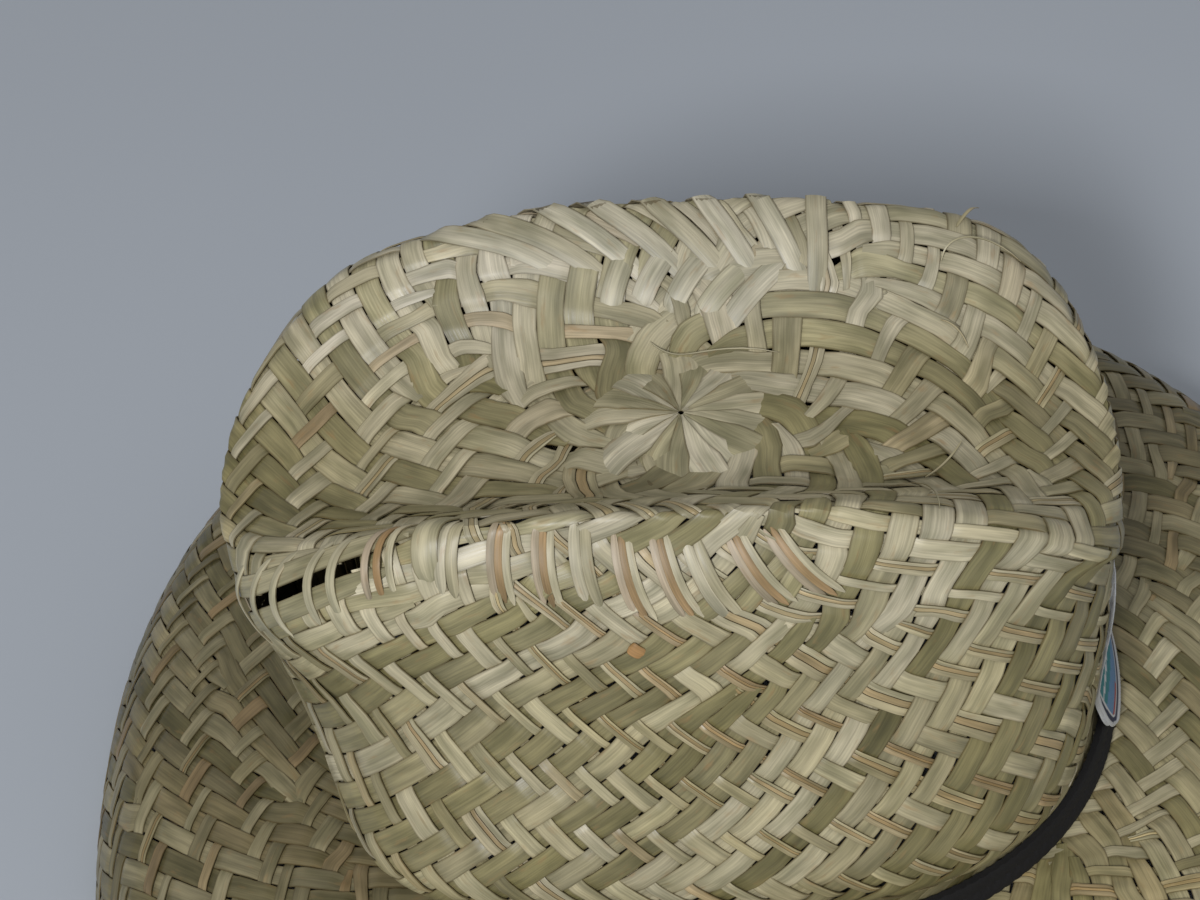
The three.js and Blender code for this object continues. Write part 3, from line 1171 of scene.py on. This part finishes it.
@dataclass
class Brim:
    """The woven bell-shaped brim with its bound edge."""

    narrow: Leaf = Leaf((0.52, 0.76), 0.10, BRIM_NARROW, 0.18, 2)
    wide: Leaf = Leaf((0.99, 0.95), 0.03, BRIM_WIDE, 0.0, 3)
    ring_pitch: float = 4.0
    spacing: float = 9.1
    loops: int = 168
    loop_width: float = 5.6
    loop_run: float = 14.0  # length of a loop from its outer end to its inner one
    loop_thick: float = 0.28
    loop_reach: tuple[float, float] = (-1.55, -0.1)  # rings from the edge to its ends, and to its turn
    loop_tones: tuple[str, ...] = ("C0B58A", "AFA678", "9D956A", "B8A67A")
    loop_steps: int = 7  # points along each side of a loop
    lowest: float = 0.45  # lowest height of the loops above the floor

    def __post_init__(self) -> None:
        """Lays out the brim's rings and crossings."""
        self.sheet = Sheet(BRIM_SECTIONS, lambda s: self.ring_pitch + 0 * s, start=0.0, level_from=0.0)
        self.twill = Twill(self.sheet, lambda k: self.spacing, seed=SEED + 1)
        LOG.info("brim: %d rings, %d strips each way", self.sheet.rings, len(self.twill.turns[-1]))

    def shade(self, points: np.ndarray) -> np.ndarray:
        """Gives brightness, which is painted light, and greenness over the brim.

        Args:
            points: Places on the brim, (..., 3).

        Returns:
            Both at each place, (..., 2).
        """
        x, y = points[..., 0], points[..., 1]
        # Matched to the photograph: lighter at the front right.
        # The lighter front right and the darker left and back are painted light and painted shade.
        bright = 0.71 + 0.66 * ease(x, -60, 90) * ease(-y, -60, 60)
        return np.stack([bright, 1.0 + 0 * x], axis=-1)

    def build(self, straw: bpy.types.Material) -> None:
        """Makes and dresses the brim's pieces.

        Args:
            straw: Their finish.
        """
        weaver = Weaver(self.twill, tail=0.0, seed=SEED + 40)
        for lay, leaf, name in (
            (Lay.NARROW, self.narrow, "brim_narrow_strips"),
            (Lay.WIDE, self.wide, "brim_wide_strips"),
        ):
            piece = weaver.weave(lay, leaf, self.shade).build(name, straw)
            nodes = ("brim",) if lay is Lay.WIDE else ()
            dress(piece, "brim_straw", *nodes)
        dress(self.binding(straw), "brim_straw")

    def binding(self, straw: bpy.types.Material) -> bpy.types.Object:
        """Makes the slanted loops that bind the brim's edge from outside to inside.

        Args:
            straw: Their finish.

        Returns:
            The binding.
        """
        rng = np.random.default_rng(SEED + 5)
        maker = MeshMaker()
        rings = self.sheet.rings
        rows, across = 2 * self.loop_steps, 3
        v = np.linspace(-1, 1, across)[None, :]
        out = np.linspace(*self.loop_reach, self.loop_steps)
        ring = rings + np.concatenate([out, out[::-1]])[:, None] + 0 * v
        lean = np.linspace(-0.8, 0.8, rows)[:, None] / self.loops
        side = np.repeat([1.0, -1.0], self.loop_steps)
        # The loops stand off the weave on both sides, and further where they turn.
        stand = 0.75 * side - 0.25 * (side < 0)
        stand = stand + 0.25 * np.sin(np.linspace(0, math.pi, rows))
        run = np.repeat(np.linspace(0, self.loop_run, rows)[:, None], across, axis=1)
        spread = np.stack([run, v * (self.loop_width / 2) + 0 * run], axis=-1)
        edge = np.broadcast_to(np.abs(v), (rows, across))[..., None]
        tones = [linear(tone) for tone in self.loop_tones]
        for index in range(self.loops):
            turn = (index + rng.normal(0, 0.05)) / self.loops
            half = self.loop_width * (1 + rng.normal(0, 0.06)) / 2 / self.sheet.girth_at(rings)
            points, normal = self.sheet.at(ring, turn + lean + v * half)
            top = points + normal * stand[:, None, None]
            top[..., 2] = np.maximum(top[..., 2], self.lowest)
            facing = normal * side[:, None, None]
            place = spread + rng.uniform(0, PATTERN_ROOM, 2)
            tone = tones[int(rng.integers(len(tones)))]
            rgb = np.broadcast_to(tone, (rows, across, 3))
            tint = np.concatenate([rgb, edge], axis=-1)
            maker.ribbon(top, facing, self.loop_thick, place, tint)
        return maker.build("brim_edge_binding", straw)


@dataclass
class Wall:
    """The crown's outer wall near its foot, found by angle and height."""

    columns: int = 1440  # lines round the wall
    steps: int = 24  # points on a line between two sections
    flank: int = 7  # place in the crown's sections of the one that the lines start at

    def __post_init__(self) -> None:
        """Draws the wall's lines below the flank."""
        angles = np.linspace(0, 2 * math.pi, self.columns + 1)
        self.lines = meridians(CROWN_SECTIONS, angles, self.steps)[self.flank * self.steps :]
        after = np.roll(self.lines[-1][:-1], -1, axis=0)
        before = np.roll(self.lines[-1][:-1], 1, axis=0)
        along = after - before
        away = np.stack([along[:, 1], -along[:, 0], 0 * along[:, 0]], axis=-1)
        away /= np.linalg.norm(away, axis=-1, keepdims=True)
        self.away = np.concatenate([away, away[:1]])

    def at(self, angles: np.ndarray, heights: np.ndarray) -> tuple[np.ndarray, np.ndarray]:
        """Gives wall points and level directions away from it.

        Args:
            angles: Angles from the front, one for each column.
            heights: Heights, one for each row or (columns, rows).

        Returns:
            Points and directions, (columns, rows, 3).
        """
        heights = np.broadcast_to(heights, (len(angles), np.shape(heights)[-1]))
        index = (angles % (2 * math.pi)) / (2 * math.pi) * self.columns
        low = index.astype(int) % self.columns
        part = (index - np.floor(index))[:, None]
        points = np.empty((*heights.shape, 3))
        for column in range(len(angles)):
            line = self.lines[:, low[column]] * (1 - part[column])
            line = line + self.lines[:, low[column] + 1] * part[column]
            for axis in range(3):
                points[column, :, axis] = np.interp(-heights[column], -line[:, 2], line[:, axis])
        away = self.away[low] * (1 - part) + self.away[low + 1] * part
        away /= np.linalg.norm(away, axis=-1, keepdims=True)
        return points, np.repeat(away[:, None, :], heights.shape[1], axis=1)


@dataclass
class Band:
    """The black braid round the foot of the crown."""

    bottom: float = 47.2
    top: float = 54.6
    clear: float = 0.65  # gap to the wall
    thick: float = 1.55
    strand: float = 3.1  # distance between strands along the braid
    relief: float = 0.38
    groove: float = 0.22  # depth of the line where the strands meet
    round_off: float = 0.55  # how far its two edges fall back
    around: int = 1100
    rows: int = 11  # points up its face

    def build(self, wall: Wall, cotton: bpy.types.Material) -> None:
        """Makes and dresses the braid.

        Args:
            wall: The wall that it lies on.
            cotton: Its finish.
        """
        maker = MeshMaker()
        angles = np.linspace(0, 2 * math.pi, self.around + 1)
        share = np.linspace(0, 1, self.rows)
        height = self.top + (self.bottom - self.top) * share
        points, away = wall.at(angles, height)
        middle = points[:, self.rows // 2]
        run = np.concatenate([[0], np.cumsum(np.linalg.norm(np.diff(middle, axis=0), axis=-1))])
        slant = np.abs(share - 0.5) * (self.top - self.bottom) * 1.15
        wave = (run[:, None] + slant[None, :]) / self.strand
        rib = np.abs(np.sin(math.pi * wave)) ** 0.6 * self.relief
        groove = self.groove * np.exp(-((share - 0.5) ** 2) / 0.004)
        round_off = self.round_off * np.abs(2 * share - 1) ** 6
        stand = self.clear + self.thick + rib - groove[None] - round_off[None]
        top = points + away * stand[..., None]
        place = np.stack(np.meshgrid(run, share * (self.top - self.bottom), indexing="ij"), axis=-1)
        tint = np.ones((*place.shape[:2], 4))
        maker.ribbon(top, away, self.thick, place, tint)
        piece = maker.build("crown_band_braid", cotton)
        dress(piece, "band_braid", "hat_band")


@dataclass
class Badge:
    """The bent cloth badge on the front, with a stitched pale border and plain stripes."""

    bottom: float = 49.5
    top: float = 100.0
    half_length: float = 28.0
    corner: float = 11.0
    thick: float = 1.2
    clear: tuple[float, float] = (3.0, 0.45)  # gap to the wall over the band, and higher up
    clear_change: tuple[float, float] = (54.9, 72)  # heights between which the gap narrows
    border: float = 1.5
    border_relief: float = 0.42
    stitch: float = 0.9  # distance between the border's threads
    buckle: float = 0.05  # unevenness of the cloth
    navy_line: float = 1.5  # width of the navy line inside the border
    pale_line: float = 2.2  # width of it with the pale line further in
    navy_hex: str = "1E2C55"
    pale_hex: str = "E6E8EA"
    red_hex: str = "B23A3C"
    field_hex: str = "6E9CCB"
    stripes: tuple[tuple[float, float, str], ...] = (
        (7.0, 9.4, "2E8C96"),
        (9.4, 10.4, "E6E8EA"),
        (10.4, 14.6, "2E8C96"),
        (26.0, 27.2, "E6E8EA"),
    )  # heights above the bottom, and colour
    stripe_slope: float = 0.18
    red_rise: tuple[float, float] = (3.4, 5.0)  # heights of the red marks above the bottom
    red_reach: float = 12.0  # distance of the red marks from the badge's middle
    columns: int = 168
    rows: int = 72

    def _stand(self, height: np.ndarray) -> np.ndarray:
        """Gives how far the badge's back stands off the wall."""
        low, high = self.clear
        return low + (high - low) * ease(height, *self.clear_change)

    def _surface(
        self, wall: Wall, reach: np.ndarray, height: np.ndarray
    ) -> tuple[np.ndarray, np.ndarray]:
        """Finds points of the badge's back.

        Args:
            wall: The wall that it stands on.
            reach: Millimetres along the front, one for each column.
            height: Heights, (columns, rows).

        Returns:
            Points and directions away from the wall, (columns, rows, 3).
        """
        angles = reach / CROWN_SECTIONS[-1].half
        points, away = wall.at(angles, height)
        return points + away * self._stand(height)[..., None], away

    def _edge(self, height: np.ndarray) -> np.ndarray:
        """Gives the badge's half length, which is shorter at its round corners.

        Args:
            height: Heights to find it at.

        Returns:
            Half lengths.
        """
        inside = np.maximum(0, self.corner - np.minimum(height - self.bottom, self.top - height))
        inside = np.minimum(inside, self.corner * 0.98)
        return self.half_length - self.corner + np.sqrt(self.corner**2 - inside**2)

    def _pattern(self, reach: np.ndarray, height: np.ndarray, rim: np.ndarray) -> np.ndarray:
        """Paints the plain pattern: border, lines, blue field, slanted stripes and red marks.

        Args:
            reach: Millimetres along the front.
            height: Heights.
            rim: Distance from the badge's edge.

        Returns:
            Colours in linear light, (..., 3).
        """
        pale = linear(self.pale_hex)
        rgb = np.broadcast_to(linear(self.field_hex), (*reach.shape, 3))
        rgb = rgb * (0.92 + 0.12 * ease(height, self.bottom, self.top))[..., None]
        rise = height - self.bottom
        slant = rise + self.stripe_slope * reach
        for low, high, tone in self.stripes:
            rgb[(slant > low) & (slant < high)] = linear(tone)
        low, high = self.red_rise
        rgb[(rise > low) & (rise < high) & (np.abs(reach) > self.red_reach)] = linear(self.red_hex)
        rgb[rim < self.border + self.pale_line] = pale
        rgb[rim < self.border + self.navy_line] = linear(self.navy_hex)
        rgb[rim < self.border] = pale
        return rgb

    def build(self, wall: Wall, satin: bpy.types.Material) -> None:
        """Makes and dresses the badge.

        Args:
            wall: The wall that it stands on.
            satin: Its finish.
        """
        maker = MeshMaker()
        height = np.linspace(self.top, self.bottom, self.rows + 1)
        across = np.linspace(-1, 1, self.columns + 1)
        top = np.empty((self.columns + 1, self.rows + 1, 3))
        away = np.empty_like(top)
        reach = across[:, None] * self._edge(height)[None, :]
        heights = np.broadcast_to(height, reach.shape)
        for row in range(self.rows + 1):
            points, out = self._surface(wall, reach[:, row], heights[:, row : row + 1])
            top[:, row], away[:, row] = points[:, 0], out[:, 0]
        rim = np.minimum(
            self._edge(height)[None] - np.abs(reach),
            np.minimum(heights - self.bottom, self.top - heights),
        )
        ridge = ease(rim, -0.2, 0.9) * (1 - ease(rim, self.border - 0.5, self.border + 0.2))
        threads = 0.5 + 0.5 * np.sin((reach + heights) * 2 * math.pi / self.stitch)
        puff = self.buckle * np.sin(reach / 9) * np.sin(heights / 7)
        stand = self.thick - 0.25 + self.border_relief * ridge * (0.8 + 0.2 * threads) + puff
        top = top + away * stand[..., None]
        tint = np.concatenate([self._pattern(reach, heights, rim), np.ones((*reach.shape, 1))], -1)
        # The border is darker between its raised threads: painted shade in the grooves.
        tint[..., :3] *= (1 - 0.12 * ridge * (1 - threads))[..., None]
        maker.ribbon(top, away, self.thick, np.stack([reach, heights], axis=-1), tint, bent=True)
        piece = maker.build("front_badge_cloth", satin, crease=50)
        dress(piece, "badge_cloth", "front_badge")


@dataclass(frozen=True)
class Thread:
    """A thin strip laid over the weave through three places: ring, turn and height."""

    begin: tuple[float, float, float]
    middle: tuple[float, float, float]
    end: tuple[float, float, float]
    width: float
    hex_colour: str
    arch: float = 0.05  # rise of its middle over its sides, as a share of its width
    rows: int = 15  # points along it
    across: int = 5

    def lay(self, sheet: Sheet, maker: MeshMaker, thick: float, seed: float) -> None:
        """Adds the thread's ribbon.

        Args:
            sheet: The form that it lies on.
            maker: Gets the ribbon.
            thick: Its thickness in millimetres.
            seed: Shifts its pattern.
        """
        t = np.linspace(0, 1, self.rows)[:, None]
        knots = np.array([self.begin, self.middle, self.end])
        way = knots[0] * (1 - t) * (1 - 2 * t) + knots[1] * 4 * t * (1 - t) + knots[2] * t * (2 * t - 1)
        path, normal = sheet.at(way[:, 0], way[:, 1])
        path = path + normal * way[:, 2:]
        along = np.gradient(path, axis=0)
        side = np.cross(along, normal)
        side /= np.linalg.norm(side, axis=-1, keepdims=True)
        taper = np.sqrt(np.clip(1 - np.abs(2 * t - 1) ** 6, 0.05, 1))
        v = np.linspace(-1, 1, self.across)[None, :, None]
        top = path[:, None] + side[:, None] * v * (taper[:, None] * self.width / 2)
        top = top + normal[:, None] * (1 - v**2) * self.width * self.arch
        run = np.concatenate([[0], np.cumsum(np.linalg.norm(np.diff(path, axis=0), axis=-1))])
        place = np.stack([run[:, None] + 0 * v[..., 0], v[..., 0] * self.width / 2 + seed + 0 * t], -1)
        rgb = np.broadcast_to(linear(self.hex_colour), (self.rows, self.across, 3))
        edge = np.broadcast_to(np.abs(v), (self.rows, self.across, 1))
        facing = np.repeat(normal[:, None], self.across, axis=1)
        maker.ribbon(top, facing, thick, place, np.concatenate([rgb, edge], axis=-1))


@dataclass(frozen=True)
class Fold:
    """A strip on the far ridge: its upper place, and its lower one inside the dent."""

    crest_ring: float
    crest_turn: float
    inner_ring: float
    inner_turn: float
    reach: float = 1.22  # how far it runs on past the lower place, as a share
    dive: float = -0.4  # height of its ends, under the weave
    crest_height: float = 1.5
    flat_height: float = 1.15
    tail: tuple[float, float] = (3.6, 0.010)  # rings and turn that it runs on past the crest

    def thread(self, width: float, tone: str) -> Thread:
        """Gives a strip that is bent over the crest and dips under the weave at both ends.

        Args:
            width: Its width in millimetres.
            tone: Its colour.

        Returns:
            The strip.
        """
        ring = self.crest_ring + self.reach * (self.inner_ring - self.crest_ring)
        turn = self.crest_turn + self.reach * (self.inner_turn - self.crest_turn)
        crest = (self.crest_ring, self.crest_turn, self.crest_height)
        end = (self.crest_ring + self.tail[0], self.crest_turn + self.tail[1], self.dive)
        return Thread((ring, turn, self.dive), crest, end, width, tone)

    def flat(self, width: float, tone: str) -> Thread:
        """Gives a strip that lies flat between its two places and dips under at both.

        Args:
            width: Its width in millimetres.
            tone: Its colour.

        Returns:
            The strip.
        """
        high = np.array([self.crest_ring, self.crest_turn])
        low = np.array([self.inner_ring, self.inner_turn])
        middle, half = (high + low) / 2, (high - low) / 2 * self.reach
        first, last = (*(middle + half), self.dive), (*(middle - half), self.dive)
        return Thread(first, (*middle, self.flat_height), last, width, tone)


@dataclass(frozen=True)
class RidgeRepair:
    """Strips and loops at the near ridge's gap, a row along its crest, and the far ridge's folds.

    The starts, tops and ends of loops are rings and turns from the loop's place, and heights.
    """

    slit: Slit = Slit()
    thick: float = 0.3
    loop_thick: float = 0.25
    lip_width: float = 5.0
    lip_offset: float = 1.55  # rings between the gap's middle and the strips along it
    lip_tones: tuple[str, ...] = ("B9B08D", "A8A07C")
    lip_places: tuple[tuple[float, float], ...] = ((-0.16, 0.3), (0.5, 1.0), (1.2, 0.3))
    loop_start: tuple[float, float, float] = (-2.6, -0.007, 0.35)
    loop_top: tuple[float, float, float] = (0.0, -0.0015, 1.7)
    loop_end: tuple[float, float, float] = (2.7, 0.010, 0.35)
    loops: tuple[tuple[float, float, str, int], ...] = (
        (0.17, 2.3, "CFC6A6", 0),
        (0.37, 2.3, "CFC6A6", 1),
        (0.53, 2.3, "CFC6A6", 2),
        (0.74, 2.3, "CFC6A6", 3),
        (0.86, 2.3, "CFC6A6", 4),
        (1.03, 1.7, "C9B79C", 9),
        (1.09, 1.7, "B08F63", 10),
        (1.15, 1.7, "D2C8A8", 11),
        (1.33, 6.0, "CBC2A0", 20),
    )  # place along the gap, width, colour, and a number that shifts the pattern
    row_turns: tuple[float, float, float] = (0.648, 0.81, 0.0195)  # start, stop and step
    row_width: float = 5.4
    row_start: tuple[float, float, float] = (-2.6, -0.007, 0.3)
    row_top: tuple[float, float, float] = (0.0, 0.0, 1.25)
    row_end: tuple[float, float, float] = (2.7, 0.009, 0.3)
    row_spread: float = 0.25  # how far its loops stray from the crest, in rings
    split_tones: tuple[str, ...] = ("C9B79C", "B5966B", "D2C8A8")
    pair_tones: tuple[str, ...] = ("CFC6AA", "C3B998")
    crest: tuple[tuple[float, float], ...] = (
        (0.636, 15.2),
        (0.66, 14.3),
        (0.694, 13.2),
        (0.75, 12.9),
        (0.805, 13.5),
    )  # turns and rings that the crest runs through
    fold_width: float = 5.0
    fold_tones: tuple[str, ...] = ("CFC8B0", "C6BEA2", "D6CFB8")
    lap_width: float = 5.6
    lap_tones: tuple[str, ...] = ("CBC4A9", "D6CFB8", "CFC8B0")
    folds: tuple[Fold, ...] = (
        Fold(11.9, 0.362, 7.6, 0.338),
        Fold(10.8, 0.344, 6.6, 0.313),
        Fold(10.0, 0.318, 6.1, 0.281),
        Fold(9.3, 0.292, 5.8, 0.240),
        Fold(8.9, 0.258, 6.0, 0.199),
        Fold(9.1, 0.225, 6.4, 0.173),
        Fold(10.0, 0.193, 7.4, 0.141),
        Fold(10.6, 0.160, 7.4, 0.128),
    )
    laps: tuple[Fold, ...] = (
        Fold(7.0, 0.288, 5.0, 0.322),
        Fold(6.7, 0.255, 4.7, 0.290),
        Fold(6.6, 0.223, 4.3, 0.255),
        Fold(6.6, 0.188, 4.0, 0.218),
        Fold(7.3, 0.163, 3.9, 0.185),
    )

    def build(self, crown: Crown, straw: bpy.types.Material) -> None:
        """Makes and dresses the strips and loops.

        Args:
            crown: The crown that they lie on.
            straw: Their finish.
        """
        maker = MeshMaker()
        sheet = crown.sheet
        for number, (side, tone) in enumerate(zip((-1, 1), self.lip_tones)):
            places = []
            for share, rise in self.lip_places:
                ring, turn = self.slit.along(share)
                places.append((ring + self.lip_offset * side, turn, rise))
            Thread(*places, self.lip_width, tone).lay(sheet, maker, self.thick, 40.0 * number)
        for share, width, tone, number in self.loops:
            ring, turn = self.slit.along(share)
            places = [
                (ring + rings, turn + turns, height)
                for rings, turns, height in (self.loop_start, self.loop_top, self.loop_end)
            ]
            Thread(*places, width, tone).lay(sheet, maker, self.loop_thick, 7.0 * number)
        self._row(sheet, maker)
        for number, fold in enumerate(self.folds):
            tone = self.fold_tones[number % len(self.fold_tones)]
            fold.thread(self.fold_width, tone).lay(sheet, maker, self.thick, 60.0 + 9 * number)
        for number, lap in enumerate(self.laps):
            tone = self.lap_tones[number % len(self.lap_tones)]
            lap.flat(self.lap_width, tone).lay(sheet, maker, self.thick, 140.0 + 9 * number)
        dress(maker.build("crown_ridge_loops", straw), "crown_straw")

    def _row(self, sheet: Sheet, maker: MeshMaker) -> None:
        """Adds the row of loops over the near ridge's crest, each split into two or three.

        Args:
            sheet: The crown's form.
            maker: Gets the loops.
        """
        turns, rings = np.array(self.crest).T
        rng = np.random.default_rng(SEED + 11)
        for number, turn in enumerate(np.arange(*self.row_turns)):
            ring = np.interp(turn, turns, rings) + rng.normal(0, self.row_spread)
            tones = self.split_tones if number % 3 else self.pair_tones
            lane = self.row_width / len(tones)
            for index, tone in enumerate(tones):
                at = turn + (index - 1) * lane / 1.02 / sheet.girth_at(ring)
                places = [
                    (ring + step, at + shift, height)
                    for step, shift, height in (self.row_start, self.row_top, self.row_end)
                ]
                loop = Thread(*places, lane * 0.97, tone)
                loop.lay(sheet, maker, self.loop_thick, 5.0 * index + number)


@dataclass(frozen=True)
class LooseFibres:
    """Thin fibres that have sprung out of the weave, and one small knot."""

    fibres: tuple[Thread, ...] = (
        Thread((2.9, 0.294, 1.6), (1.9, 0.228, 2.6), (4.0, 0.108, 1.4), 0.35, "D8CFAF"),
        Thread((13.2, 0.095, 0.8), (15.0, 0.100, 3.6), (17.6, 0.083, 1.0), 0.4, "D2C8A6"),
        Thread((11.2, 0.066, 0.9), (11.7, 0.058, 2.2), (12.0, 0.046, 1.0), 0.35, "CDBF9A"),
        Thread((9.5, 0.931, 0.8), (10.0, 0.950, 1.9), (10.5, 0.969, 3.4), 0.5, "D8CCA6"),
        Thread((15.5, 0.335, 0.8), (16.6, 0.338, 2.4), (17.4, 0.345, 4.6), 0.6, "C6B68E"),
        Thread((9.0, 0.905, 0.8), (11.5, 0.890, 2.4), (14.0, 0.872, 1.0), 0.35, "D2C8A6"),
        Thread((15.6, 0.108, 0.8), (16.8, 0.112, 2.2), (17.8, 0.112, 4.2), 0.8, "CFC29C"),
        Thread((17.9, 0.7275, 0.6), (18.1, 0.7300, 1.2), (18.4, 0.7335, 0.6), 3.2, "B98F5C"),
    )
    thick: float = 0.18

    def build(self, crown: Crown, straw: bpy.types.Material) -> None:
        """Makes and dresses the fibres.

        Args:
            crown: The crown that they spring from.
            straw: Their finish.
        """
        maker = MeshMaker()
        for number, fibre in enumerate(self.fibres):
            fibre.lay(crown.sheet, maker, self.thick, 11.0 * number)
        dress(maker.build("crown_loose_fibres", straw), "crown_straw")


# The setting


@dataclass(frozen=True)
class Viewpoint:
    """The camera at the photograph's angle, 45 degrees above the floor. Angles are in degrees."""

    target: tuple[float, float, float] = (-29.1, -39.12, 171.13)
    distance: float = 623.75
    sensor: float = 36.0  # width of the picture on the sensor
    clip: tuple[float, float] = (0.02, 50.0)  # metres
    elevation: float = 44.99
    azimuth: float = 3.25
    roll: float = -5.10
    lens: float = 87.31

    def build(self) -> None:
        """Places the camera and makes it the scene's."""
        e, a, r = (math.radians(v) for v in (self.elevation, self.azimuth, self.roll))
        back = Vector((math.sin(a) * math.cos(e), -math.cos(a) * math.cos(e), math.sin(e)))
        level = (-back).cross(Vector((0, 0, 1))).normalized()
        upright = level.cross(-back)
        right = math.cos(r) * level + math.sin(r) * upright
        top = -math.sin(r) * level + math.cos(r) * upright
        place = (Vector(self.target) + back * self.distance) * METRES
        data = bpy.data.cameras.new("camera")
        data.lens = self.lens
        data.sensor_width = self.sensor
        data.sensor_fit = "HORIZONTAL"
        data.clip_start, data.clip_end = self.clip
        camera = bpy.data.objects.new("camera", data)
        bpy.context.collection.objects.link(camera)
        rows = [[right[i], top[i], back[i], place[i]] for i in range(3)]
        camera.matrix_world = Matrix([*rows, [0, 0, 0, 1]])
        bpy.context.scene.camera = camera


@dataclass(frozen=True)
class Lamp:
    """A soft square lamp that faces the hat."""

    name: str
    azimuth: float  # degrees to the right of the hat's near side
    elevation: float  # degrees above the floor
    size: float  # metres
    power: float  # watts
    distance: float = 2.0  # metres
    target: tuple[float, float, float] = (0, 0, 0.1)  # metres

    def build(self) -> None:
        """Places the lamp."""
        a, e = math.radians(self.azimuth), math.radians(self.elevation)
        back = Vector((math.sin(a) * math.cos(e), -math.cos(a) * math.cos(e), math.sin(e)))
        data = bpy.data.lights.new(self.name, "AREA")
        data.size = self.size
        data.energy = self.power
        lamp = bpy.data.objects.new(self.name, data)
        lamp.location = Vector(self.target) + back * self.distance
        lamp.rotation_euler = back.to_track_quat("Z", "Y").to_euler()
        bpy.context.collection.objects.link(lamp)


@dataclass(frozen=True)
class Studio:
    """A pale floor, a soft lamp at the near left, a broad weak one at the right and even light."""

    floor_size: float = 12.0  # metres
    lamps: tuple[Lamp, ...] = (Lamp("key", -15, 38, 0.32, 19.5), Lamp("fill", 40, 60, 1.2, 2.6))
    surround: float = 0.26

    def build(self) -> None:
        """Makes the floor and the lamps."""
        half = self.floor_size / 2
        mesh = bpy.data.meshes.new("floor")
        corners = [(-half, -half, 0), (half, -half, 0), (half, half, 0), (-half, half, 0)]
        mesh.from_pydata(corners, [], [(0, 1, 2, 3)])
        mesh.materials.append(PlainSurface().material())
        floor = bpy.data.objects.new("floor", mesh)
        bpy.context.collection.objects.link(floor)
        for lamp in self.lamps:
            lamp.build()
        world = bpy.data.worlds.new("surround")
        world.use_nodes = True
        world.node_tree.nodes.clear()
        sky = add_node(world.node_tree, "Background", {0: (1.0, 1.0, 1.0, 1), 1: self.surround})
        add_node(world.node_tree, "OutputWorld", {0: sky.outputs[0]})
        bpy.context.scene.world = world
        bpy.context.scene.view_settings.view_transform = "Standard"


def main() -> None:
    """Builds the hat and its setting in order."""
    logging.basicConfig(level=logging.INFO, format="%(name)s: %(message)s")
    Viewpoint().build()
    Studio().build()
    crown_straw = PalmStraw("dried_palm_strip_crown").material()
    brim_straw = PalmStraw("dried_palm_strip_brim", stain_share=0.4).material()
    crown = Crown()
    crown.build(crown_straw)
    Brim().build(brim_straw)
    wall = Wall()
    Band().build(wall, BraidedCotton().material())
    Badge().build(wall, PrintedSatin().material())
    RidgeRepair().build(crown, crown_straw)
    LooseFibres().build(crown, crown_straw)


if __name__ == "__main__":
    main()
